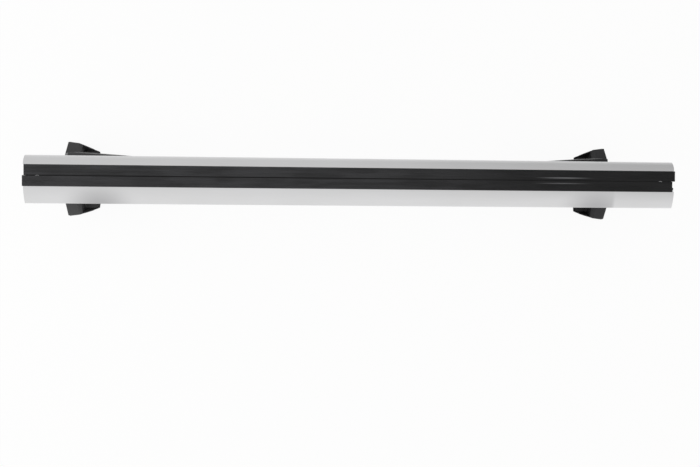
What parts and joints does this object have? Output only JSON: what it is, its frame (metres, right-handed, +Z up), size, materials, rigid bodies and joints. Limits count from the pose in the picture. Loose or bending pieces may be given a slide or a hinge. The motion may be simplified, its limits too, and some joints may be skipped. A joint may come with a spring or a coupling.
{
  "type": "roof rack crossbar",
  "caption": "Wing-shaped aluminium roof crossbar with ribbed rubber strips, on moulded feet that slide along its bottom channel and clamp to a vehicle's roof.",
  "frame": {"origin": "middle of the bar's length, in the plane of its channels, level with the soles of the feet", "axes": "+X along the bar, +Y toward its short blunt edge, +Z up"},
  "size_m": [1.1032, 0.1312, 0.1043],
  "materials": {
    "anodised_aluminium": "satin silver anodised",
    "strip_rubber": "matt ribbed",
    "foot_plastic": "fine textured black",
    "zinc_steel": "zinc plated",
    "screw_steel": "stainless"
  },
  "bodies": {
    "bar": {"crossbar_extrusion": "anodised_aluminium", "rubber_strip_front": "strip_rubber", "rubber_strip_rear": "strip_rubber"},
    "left_foot": {"left_foot_shell": "foot_plastic", "left_foot_bracket": "zinc_steel", "left_channel_plate": "zinc_steel", "left_inner_washer": "screw_steel", "left_outer_washer": "screw_steel"},
    "left_hatch": {"left_foot_hatch": "foot_plastic"},
    "left_nut": {"left_barrel_nut": "zinc_steel"},
    "left_inner_screw": {"left_inner_clamp_screw": "screw_steel"},
    "left_outer_screw": {"left_outer_clamp_screw": "screw_steel"},
    "right_foot": {"right_foot_shell": "foot_plastic", "right_foot_bracket": "zinc_steel", "right_channel_plate": "zinc_steel", "right_inner_washer": "screw_steel", "right_outer_washer": "screw_steel"},
    "right_hatch": {"right_foot_hatch": "foot_plastic"},
    "right_nut": {"right_barrel_nut": "zinc_steel"},
    "right_inner_screw": {"right_inner_clamp_screw": "screw_steel"},
    "right_outer_screw": {"right_outer_clamp_screw": "screw_steel"}
  },
  "joints": [
    {"name": "left_foot_along_bar", "type": "slide", "parent": "bar", "child": "left_foot", "axis": [1, 0, 0], "range_m": [-0.035, 0.15]},
    {"name": "left_hatch_pull_off", "type": "slide", "parent": "left_foot", "child": "left_hatch", "axis": [0, 0, -1], "range_m": [0, 0.02]},
    {"name": "left_nut_swivel", "type": "hinge", "parent": "left_foot", "child": "left_nut", "pos_m": [-0.47302, 0, 0.03248], "axis": [0, 1, 0], "continuous": true},
    {"name": "left_inner_screw_turn", "type": "hinge", "parent": "left_foot", "child": "left_inner_screw", "pos_m": [-0.395, 0, 0.0742], "axis": [0, 0, 1], "continuous": true},
    {"name": "left_outer_screw_turn", "type": "hinge", "parent": "left_foot", "child": "left_outer_screw", "pos_m": [-0.425, 0, 0.0742], "axis": [0, 0, 1], "continuous": true},
    {"name": "right_foot_along_bar", "type": "slide", "parent": "bar", "child": "right_foot", "axis": [-1, 0, 0], "range_m": [-0.08, 0.15]},
    {"name": "right_hatch_pull_off", "type": "slide", "parent": "right_foot", "child": "right_hatch", "axis": [0, 0, -1], "range_m": [0, 0.02]},
    {"name": "right_nut_swivel", "type": "hinge", "parent": "right_foot", "child": "right_nut", "pos_m": [0.42802, 0, 0.03248], "axis": [0, 1, 0], "continuous": true},
    {"name": "right_inner_screw_turn", "type": "hinge", "parent": "right_foot", "child": "right_inner_screw", "pos_m": [0.35, 0, 0.0742], "axis": [0, 0, 1], "continuous": true},
    {"name": "right_outer_screw_turn", "type": "hinge", "parent": "right_foot", "child": "right_outer_screw", "pos_m": [0.38, 0, 0.0742], "axis": [0, 0, 1], "continuous": true}
  ]
}
